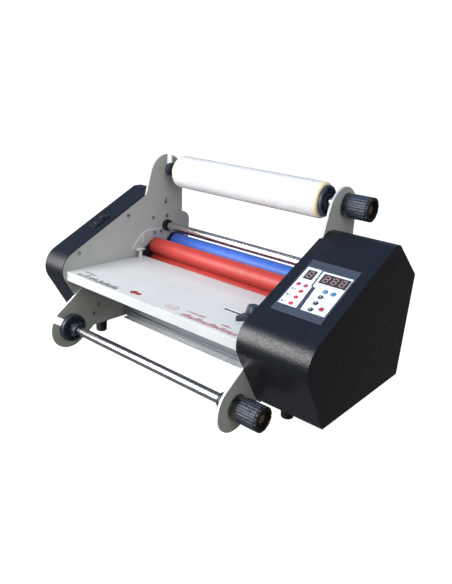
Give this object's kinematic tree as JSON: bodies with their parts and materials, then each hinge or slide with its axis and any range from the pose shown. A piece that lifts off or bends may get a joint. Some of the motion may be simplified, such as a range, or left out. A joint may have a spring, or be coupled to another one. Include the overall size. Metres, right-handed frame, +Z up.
{
  "type": "roll laminator",
  "caption": "Desktop roll laminator with side frames, paired silicone rollers, feed table, film shafts with tension knobs, side guide and a control panel on a sloped drive cover.",
  "frame": {"origin": "on the floor under the centre of the bounding box", "axes": "+X runs along the rollers to the drive cover, +Y to the back, where the sheet leaves, and +Z up"},
  "size_m": [0.557, 0.35, 0.3467],
  "materials": {
    "arm_grey": "light grey powder coat",
    "black_plastic": "satin black",
    "board_green": "solder resist",
    "cardboard": "wound cardboard",
    "chrome_bar": "mirror chrome",
    "clear_film": "translucent film, wound",
    "cover_black": "black hammer-textured powder coat",
    "dark_screw": "blackened",
    "display_red": "dark red display window",
    "foot_rubber": "matte black",
    "gear_steel": "oiled",
    "key_black": "moulded",
    "key_blue": "moulded",
    "key_red": "moulded",
    "knob_slate": "moulded slate",
    "lamp_red": "clear red lens",
    "member_grey": "blue-grey powder coat",
    "motor_grey": "grey enamel",
    "panel_overlay": "printed membrane overlay",
    "plate_grey": "light grey powder coat",
    "rocker_black": "polished",
    "roller_steel": "turned",
    "shaft_steel": "polished",
    "silicone_blue": "satin silicone rubber",
    "silicone_red": "satin silicone rubber",
    "table_grey": "pale grey satin powder coat",
    "tray_grey": "dark grey powder coat",
    "white_nylon": "satin white nylon",
    "zinc": "bright zinc plate"
  },
  "bodies": {
    "frame": {"left_side_plate": "plate_grey", "right_side_plate": "plate_grey", "left_lower_arm": "arm_grey", "right_lower_arm": "arm_grey", "front_cross_member": "member_grey", "rear_cross_member": "member_grey", "left_base_tray": "tray_grey", "right_base_tray": "tray_grey", "left_cover": "cover_black", "right_cover": "cover_black", "feed_table": "table_grey", "rubber_feet": "foot_rubber", "machine_screws": "dark_screw", "left_roller_carrier": "plate_grey", "right_roller_carrier": "plate_grey", "carrier_posts": "white_nylon", "bearing_blocks": "black_plastic", "friction_washers": "zinc", "control_panel": "panel_overlay", "display_windows": "display_red", "indicator_leds": "lamp_red", "control_board": "board_green", "switch_housing": "black_plastic", "power_inlet": "black_plastic", "gear_motor": "motor_grey"},
    "side_guide": {"side_guide": "black_plastic"},
    "guide_knob": {"guide_knob": "knob_slate"},
    "power_rocker": {"power_rocker": "rocker_black"},
    "level_down_key": {"level_down_key": "key_blue"},
    "level_up_key": {"level_up_key": "key_blue"},
    "mode_key": {"mode_key": "key_black"},
    "forward_key": {"forward_key": "key_black"},
    "reverse_key": {"reverse_key": "key_black"},
    "stop_key": {"stop_key": "key_red"},
    "lower_front_roller": {"lower_front_core": "roller_steel", "lower_front_sleeve": "silicone_red", "lower_front_gear": "gear_steel"},
    "upper_front_roller": {"upper_front_core": "roller_steel", "upper_front_sleeve": "silicone_red"},
    "lower_rear_roller": {"lower_rear_core": "roller_steel", "lower_rear_sleeve": "silicone_blue", "lower_rear_gear": "gear_steel"},
    "upper_rear_roller": {"upper_rear_core": "roller_steel", "upper_rear_sleeve": "silicone_blue"},
    "idler_gear": {"idler_gear": "white_nylon"},
    "motor_pinion": {"motor_pinion": "gear_steel"},
    "idler_bar": {"idler_bar": "chrome_bar"},
    "upper_film_shaft": {"upper_film_shaft": "shaft_steel", "upper_shaft_collar": "black_plastic", "core_plugs": "black_plastic", "cardboard_core": "cardboard", "film_roll": "clear_film", "upper_tension_spring": "zinc"},
    "upper_pressure_washer": {"upper_pressure_washer": "zinc"},
    "upper_tension_knob": {"upper_tension_knob": "knob_slate"},
    "lower_film_shaft": {"lower_film_shaft": "shaft_steel", "lower_core_chucks": "black_plastic", "lower_tension_spring": "zinc"},
    "lower_pressure_washer": {"lower_pressure_washer": "zinc"},
    "lower_tension_knob": {"lower_tension_knob": "knob_slate"}
  },
  "joints": [
    {"name": "lower_front_spin", "type": "hinge", "parent": "frame", "child": "lower_front_roller", "pos_m": [-0.033, 0.0685, 0.135], "axis": [1, 0, 0], "continuous": true},
    {"name": "upper_front_spin", "type": "hinge", "parent": "frame", "child": "upper_front_roller", "pos_m": [-0.033, 0.0685, 0.168], "axis": [1, 0, 0], "continuous": true},
    {"name": "lower_rear_spin", "type": "hinge", "parent": "frame", "child": "lower_rear_roller", "pos_m": [-0.033, 0.1255, 0.135], "axis": [1, 0, 0], "continuous": true},
    {"name": "upper_rear_spin", "type": "hinge", "parent": "frame", "child": "upper_rear_roller", "pos_m": [-0.033, 0.1255, 0.168], "axis": [1, 0, 0], "continuous": true},
    {"name": "idler_gear_spin", "type": "hinge", "parent": "frame", "child": "idler_gear", "pos_m": [0.174, 0.097, 0.135], "axis": [1, 0, 0], "continuous": true},
    {"name": "motor_pinion_spin", "type": "hinge", "parent": "frame", "child": "motor_pinion", "pos_m": [0.174, 0.05425, 0.11032], "axis": [1, 0, 0], "continuous": true},
    {"name": "idler_bar_spin", "type": "hinge", "parent": "frame", "child": "idler_bar", "pos_m": [-0.033, 0.1065, 0.203], "axis": [1, 0, 0], "continuous": true},
    {"name": "upper_film_spin", "type": "hinge", "parent": "frame", "child": "upper_film_shaft", "pos_m": [-0.033, 0.1085, 0.316], "axis": [1, 0, 0], "continuous": true},
    {"name": "lower_film_spin", "type": "hinge", "parent": "frame", "child": "lower_film_shaft", "pos_m": [-0.033, -0.1345, 0.045], "axis": [1, 0, 0], "continuous": true},
    {"name": "guide_slide", "type": "slide", "parent": "frame", "child": "side_guide", "axis": [1, 0, 0], "range_m": [-0.0455, 0.008]},
    {"name": "guide_knob_turn", "type": "hinge", "parent": "side_guide", "child": "guide_knob", "pos_m": [0.1235, -0.0585, 0.163], "axis": [0, 0, 1], "range_deg": [0, 180]},
    {"name": "power_rocker_tilt", "type": "hinge", "parent": "frame", "child": "power_rocker", "pos_m": [-0.255, -0.04519, 0.22302], "axis": [1, 0, 0], "range_deg": [-14, 0]},
    {"name": "upper_washer_slide", "type": "slide", "parent": "upper_film_shaft", "child": "upper_pressure_washer", "axis": [1, 0, 0], "range_m": [-0.0015, 0], "deforming": ["upper_tension_spring"]},
    {"name": "upper_knob_turn", "type": "hinge", "parent": "upper_pressure_washer", "child": "upper_tension_knob", "pos_m": [0.195, 0.1085, 0.316], "axis": [1, 0, 0], "range_deg": [-360, 0]},
    {"name": "lower_washer_slide", "type": "slide", "parent": "lower_film_shaft", "child": "lower_pressure_washer", "axis": [1, 0, 0], "range_m": [-0.003, 0], "deforming": ["lower_tension_spring"]},
    {"name": "lower_knob_turn", "type": "hinge", "parent": "lower_pressure_washer", "child": "lower_tension_knob", "pos_m": [0.194, -0.1345, 0.045], "axis": [1, 0, 0], "range_deg": [-720, 0]},
    {"name": "level_down_key_press", "type": "slide", "parent": "frame", "child": "level_down_key", "axis": [0, 0.4576, -0.8892], "range_m": [0, 0.0006], "stiffness_N_per_m": 500, "springref_m": -0.0006},
    {"name": "level_up_key_press", "type": "slide", "parent": "frame", "child": "level_up_key", "axis": [0, 0.4576, -0.8892], "range_m": [0, 0.0006], "stiffness_N_per_m": 500, "springref_m": -0.0006},
    {"name": "mode_key_press", "type": "slide", "parent": "frame", "child": "mode_key", "axis": [0, 0.4576, -0.8892], "range_m": [0, 0.0006], "stiffness_N_per_m": 500, "springref_m": -0.0006},
    {"name": "forward_key_press", "type": "slide", "parent": "frame", "child": "forward_key", "axis": [0, 0.4576, -0.8892], "range_m": [0, 0.0006], "stiffness_N_per_m": 500, "springref_m": -0.0006},
    {"name": "reverse_key_press", "type": "slide", "parent": "frame", "child": "reverse_key", "axis": [0, 0.4576, -0.8892], "range_m": [0, 0.0006], "stiffness_N_per_m": 500, "springref_m": -0.0006},
    {"name": "stop_key_press", "type": "slide", "parent": "frame", "child": "stop_key", "axis": [0, 0.4576, -0.8892], "range_m": [0, 0.0006], "stiffness_N_per_m": 500, "springref_m": -0.0006}
  ],
  "couplings": [
    {"joint": "upper_front_spin", "follows": "lower_front_spin", "ratio": -1},
    {"joint": "lower_rear_spin", "follows": "lower_front_spin", "ratio": 1},
    {"joint": "upper_rear_spin", "follows": "lower_front_spin", "ratio": -1},
    {"joint": "idler_gear_spin", "follows": "lower_front_spin", "ratio": -1.375},
    {"joint": "motor_pinion_spin", "follows": "lower_front_spin", "ratio": -1.375},
    {"joint": "upper_washer_slide", "follows": "upper_knob_turn", "m_per_rad": 0.0002387},
    {"joint": "lower_washer_slide", "follows": "lower_knob_turn", "m_per_rad": 0.0002387}
  ]
}
